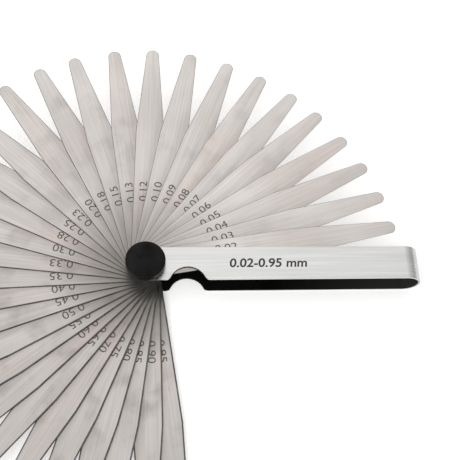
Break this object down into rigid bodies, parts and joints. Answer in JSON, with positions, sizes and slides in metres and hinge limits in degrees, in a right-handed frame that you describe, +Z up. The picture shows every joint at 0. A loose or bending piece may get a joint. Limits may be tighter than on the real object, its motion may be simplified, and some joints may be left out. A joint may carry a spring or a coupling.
{
  "type": "leaf feeler gauge",
  "caption": "Fanned leaf feeler gauge: tapered spring-steel thickness leaves turning on one pivot, in a folded sheet-steel handle with thumb notches and a round clamping knob.",
  "frame": {"origin": "on the pivot axis, in the plane of the handle's flat underside, at the flush end of the pivot stud", "axes": "+Z up the pivot axis, towards the knob; +X along the handle, from the pivot to the fold"},
  "size_m": [0.2299, 0.2219, 0.0186],
  "materials": {
    "leaf_steel": "satin, ground along the leaf, with etched thickness marks",
    "handle_steel": "bright brushed outside, dark inside",
    "stud_steel": "turned",
    "washer_steel": "satin",
    "black_plastic": "smooth black, slightly glossy",
    "insert_brass": "turned"
  },
  "bodies": {
    "handle": {"handle_band": "handle_steel", "pivot_stud": "stud_steel", "wave_washer": "washer_steel", "knob_washer": "washer_steel"},
    "knob": {"knob_cap": "black_plastic", "knob_insert": "insert_brass"},
    "leaf_0_02mm": {"leaf_0_02mm": "leaf_steel"},
    "leaf_0_03mm": {"leaf_0_03mm": "leaf_steel"},
    "leaf_0_04mm": {"leaf_0_04mm": "leaf_steel"},
    "leaf_0_05mm": {"leaf_0_05mm": "leaf_steel"},
    "leaf_0_06mm": {"leaf_0_06mm": "leaf_steel"},
    "leaf_0_07mm": {"leaf_0_07mm": "leaf_steel"},
    "leaf_0_08mm": {"leaf_0_08mm": "leaf_steel"},
    "leaf_0_09mm": {"leaf_0_09mm": "leaf_steel"},
    "leaf_0_10mm": {"leaf_0_10mm": "leaf_steel"},
    "leaf_0_12mm": {"leaf_0_12mm": "leaf_steel"},
    "leaf_0_13mm": {"leaf_0_13mm": "leaf_steel"},
    "leaf_0_15mm": {"leaf_0_15mm": "leaf_steel"},
    "leaf_0_18mm": {"leaf_0_18mm": "leaf_steel"},
    "leaf_0_20mm": {"leaf_0_20mm": "leaf_steel"},
    "leaf_0_23mm": {"leaf_0_23mm": "leaf_steel"},
    "leaf_0_25mm": {"leaf_0_25mm": "leaf_steel"},
    "leaf_0_28mm": {"leaf_0_28mm": "leaf_steel"},
    "leaf_0_30mm": {"leaf_0_30mm": "leaf_steel"},
    "leaf_0_33mm": {"leaf_0_33mm": "leaf_steel"},
    "leaf_0_35mm": {"leaf_0_35mm": "leaf_steel"},
    "leaf_0_40mm": {"leaf_0_40mm": "leaf_steel"},
    "leaf_0_45mm": {"leaf_0_45mm": "leaf_steel"},
    "leaf_0_50mm": {"leaf_0_50mm": "leaf_steel"},
    "leaf_0_55mm": {"leaf_0_55mm": "leaf_steel"},
    "leaf_0_60mm": {"leaf_0_60mm": "leaf_steel"},
    "leaf_0_65mm": {"leaf_0_65mm": "leaf_steel"},
    "leaf_0_70mm": {"leaf_0_70mm": "leaf_steel"},
    "leaf_0_75mm": {"leaf_0_75mm": "leaf_steel"},
    "leaf_0_80mm": {"leaf_0_80mm": "leaf_steel"},
    "leaf_0_85mm": {"leaf_0_85mm": "leaf_steel"},
    "leaf_0_90mm": {"leaf_0_90mm": "leaf_steel"},
    "leaf_0_95mm": {"leaf_0_95mm": "leaf_steel"}
  },
  "joints": [
    {"name": "knob_turn", "type": "hinge", "parent": "handle", "child": "knob", "pos_m": [0, 0, 0.01511], "axis": [0, 0, 1], "range_deg": [0, 360]},
    {"name": "leaf_0_02mm_turn", "type": "hinge", "parent": "handle", "child": "leaf_0_02mm", "pos_m": [0, 0, 0.01291], "axis": [0, 0, 1], "range_deg": [-9, 351]},
    {"name": "leaf_0_03mm_turn", "type": "hinge", "parent": "handle", "child": "leaf_0_03mm", "pos_m": [0, 0, 0.01286], "axis": [0, 0, 1], "range_deg": [-17, 343]},
    {"name": "leaf_0_04mm_turn", "type": "hinge", "parent": "handle", "child": "leaf_0_04mm", "pos_m": [0, 0, 0.01279], "axis": [0, 0, 1], "range_deg": [-25.5, 334.5]},
    {"name": "leaf_0_05mm_turn", "type": "hinge", "parent": "handle", "child": "leaf_0_05mm", "pos_m": [0, 0, 0.01272], "axis": [0, 0, 1], "range_deg": [-34, 326]},
    {"name": "leaf_0_06mm_turn", "type": "hinge", "parent": "handle", "child": "leaf_0_06mm", "pos_m": [0, 0, 0.01263], "axis": [0, 0, 1], "range_deg": [-43, 317]},
    {"name": "leaf_0_07mm_turn", "type": "hinge", "parent": "handle", "child": "leaf_0_07mm", "pos_m": [0, 0, 0.01253], "axis": [0, 0, 1], "range_deg": [-51, 309]},
    {"name": "leaf_0_08mm_turn", "type": "hinge", "parent": "handle", "child": "leaf_0_08mm", "pos_m": [0, 0, 0.01243], "axis": [0, 0, 1], "range_deg": [-60, 300]},
    {"name": "leaf_0_09mm_turn", "type": "hinge", "parent": "handle", "child": "leaf_0_09mm", "pos_m": [0, 0, 0.01231], "axis": [0, 0, 1], "range_deg": [-69, 291]},
    {"name": "leaf_0_10mm_turn", "type": "hinge", "parent": "handle", "child": "leaf_0_10mm", "pos_m": [0, 0, 0.01219], "axis": [0, 0, 1], "range_deg": [-78.5, 281.5]},
    {"name": "leaf_0_12mm_turn", "type": "hinge", "parent": "handle", "child": "leaf_0_12mm", "pos_m": [0, 0, 0.01205], "axis": [0, 0, 1], "range_deg": [-88, 272]},
    {"name": "leaf_0_13mm_turn", "type": "hinge", "parent": "handle", "child": "leaf_0_13mm", "pos_m": [0, 0, 0.01189], "axis": [0, 0, 1], "range_deg": [-97.5, 262.5]},
    {"name": "leaf_0_15mm_turn", "type": "hinge", "parent": "handle", "child": "leaf_0_15mm", "pos_m": [0, 0, 0.01172], "axis": [0, 0, 1], "range_deg": [-107.5, 252.5]},
    {"name": "leaf_0_18mm_turn", "type": "hinge", "parent": "handle", "child": "leaf_0_18mm", "pos_m": [0, 0, 0.01153], "axis": [0, 0, 1], "range_deg": [-116.5, 243.5]},
    {"name": "leaf_0_20mm_turn", "type": "hinge", "parent": "handle", "child": "leaf_0_20mm", "pos_m": [0, 0, 0.01131], "axis": [0, 0, 1], "range_deg": [-126, 234]},
    {"name": "leaf_0_23mm_turn", "type": "hinge", "parent": "handle", "child": "leaf_0_23mm", "pos_m": [0, 0, 0.01107], "axis": [0, 0, 1], "range_deg": [-136.5, 223.5]},
    {"name": "leaf_0_25mm_turn", "type": "hinge", "parent": "handle", "child": "leaf_0_25mm", "pos_m": [0, 0, 0.0108], "axis": [0, 0, 1], "range_deg": [-145.5, 214.5]},
    {"name": "leaf_0_28mm_turn", "type": "hinge", "parent": "handle", "child": "leaf_0_28mm", "pos_m": [0, 0, 0.0105], "axis": [0, 0, 1], "range_deg": [-154.5, 205.5]},
    {"name": "leaf_0_30mm_turn", "type": "hinge", "parent": "handle", "child": "leaf_0_30mm", "pos_m": [0, 0, 0.01018], "axis": [0, 0, 1], "range_deg": [-163.5, 196.5]},
    {"name": "leaf_0_33mm_turn", "type": "hinge", "parent": "handle", "child": "leaf_0_33mm", "pos_m": [0, 0, 0.00983], "axis": [0, 0, 1], "range_deg": [-173.5, 186.5]},
    {"name": "leaf_0_35mm_turn", "type": "hinge", "parent": "handle", "child": "leaf_0_35mm", "pos_m": [0, 0, 0.00946], "axis": [0, 0, 1], "range_deg": [-182.5, 177.5]},
    {"name": "leaf_0_40mm_turn", "type": "hinge", "parent": "handle", "child": "leaf_0_40mm", "pos_m": [0, 0, 0.00906], "axis": [0, 0, 1], "range_deg": [-191, 169]},
    {"name": "leaf_0_45mm_turn", "type": "hinge", "parent": "handle", "child": "leaf_0_45mm", "pos_m": [0, 0, 0.0086], "axis": [0, 0, 1], "range_deg": [-199.5, 160.5]},
    {"name": "leaf_0_50mm_turn", "type": "hinge", "parent": "handle", "child": "leaf_0_50mm", "pos_m": [0, 0, 0.0081], "axis": [0, 0, 1], "range_deg": [-209, 151]},
    {"name": "leaf_0_55mm_turn", "type": "hinge", "parent": "handle", "child": "leaf_0_55mm", "pos_m": [0, 0, 0.00754], "axis": [0, 0, 1], "range_deg": [-216.5, 143.5]},
    {"name": "leaf_0_60mm_turn", "type": "hinge", "parent": "handle", "child": "leaf_0_60mm", "pos_m": [0, 0, 0.00694], "axis": [0, 0, 1], "range_deg": [-224.5, 135.5]},
    {"name": "leaf_0_65mm_turn", "type": "hinge", "parent": "handle", "child": "leaf_0_65mm", "pos_m": [0, 0, 0.00628], "axis": [0, 0, 1], "range_deg": [-232, 128]},
    {"name": "leaf_0_70mm_turn", "type": "hinge", "parent": "handle", "child": "leaf_0_70mm", "pos_m": [0, 0, 0.00558], "axis": [0, 0, 1], "range_deg": [-240, 120]},
    {"name": "leaf_0_75mm_turn", "type": "hinge", "parent": "handle", "child": "leaf_0_75mm", "pos_m": [0, 0, 0.00483], "axis": [0, 0, 1], "range_deg": [-247.5, 112.5]},
    {"name": "leaf_0_80mm_turn", "type": "hinge", "parent": "handle", "child": "leaf_0_80mm", "pos_m": [0, 0, 0.00402], "axis": [0, 0, 1], "range_deg": [-255, 105]},
    {"name": "leaf_0_85mm_turn", "type": "hinge", "parent": "handle", "child": "leaf_0_85mm", "pos_m": [0, 0, 0.00316], "axis": [0, 0, 1], "range_deg": [-262, 98]},
    {"name": "leaf_0_90mm_turn", "type": "hinge", "parent": "handle", "child": "leaf_0_90mm", "pos_m": [0, 0, 0.00226], "axis": [0, 0, 1], "range_deg": [-270.5, 89.5]},
    {"name": "leaf_0_95mm_turn", "type": "hinge", "parent": "handle", "child": "leaf_0_95mm", "pos_m": [0, 0, 0.0013], "axis": [0, 0, 1], "range_deg": [-277.5, 82.5]}
  ]
}
